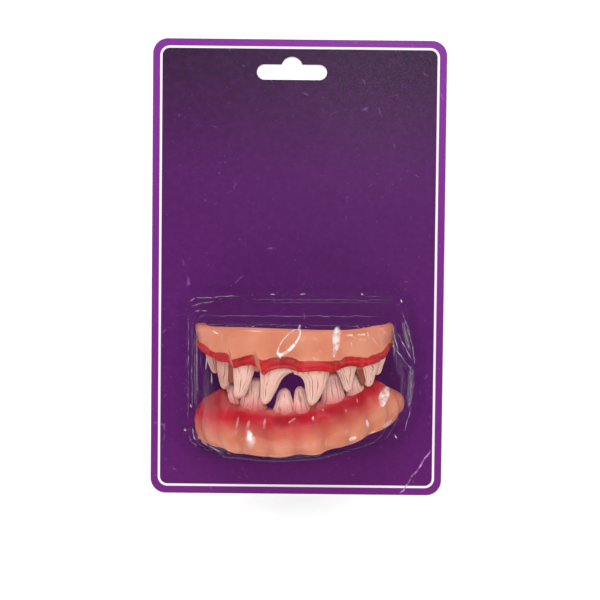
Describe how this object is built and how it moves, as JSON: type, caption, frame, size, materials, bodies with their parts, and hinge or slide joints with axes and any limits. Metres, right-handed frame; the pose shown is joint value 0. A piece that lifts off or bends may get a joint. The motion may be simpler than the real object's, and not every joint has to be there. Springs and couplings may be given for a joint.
{
  "type": "costume false teeth on a blister card",
  "caption": "Soft vinyl costume false teeth: an upper and a lower hollow gum arch set with crooked pointed teeth, held on a flat hang card by a clear plastic blister.",
  "frame": {"origin": "middle of the card's back face, which it lies on", "axes": "+X to the right across the card as seen from the front, +Y up the card towards the hang slot, +Z out of the printed face towards the front of the teeth"},
  "size_m": [0.11, 0.171, 0.0364],
  "materials": {
    "card_print": "glossy purple print on white board",
    "clear_sheet": "clear thermoformed sheet",
    "gum_vinyl": "soft flesh coloured vinyl with red paint along the teeth",
    "upper_enamel": "soft vinyl painted cream with brown staining",
    "lower_enamel": "soft vinyl painted pinkish white"
  },
  "bodies": {
    "root": {"card": "card_print", "blister": "clear_sheet", "upper_gum": "gum_vinyl", "upper_molar_left": "upper_enamel", "upper_fang_left": "upper_enamel", "upper_canine_left": "upper_enamel", "upper_incisor_left": "upper_enamel", "upper_incisor_right": "upper_enamel", "upper_canine_right": "upper_enamel", "upper_fang_right": "upper_enamel", "upper_molar_right": "upper_enamel", "lower_gum": "gum_vinyl", "lower_fang_left": "lower_enamel", "lower_canine_left": "lower_enamel", "lower_incisor_left": "lower_enamel", "lower_incisor_right": "lower_enamel", "lower_canine_right": "lower_enamel", "lower_fang_right": "lower_enamel"}
  },
  "joints": []
}
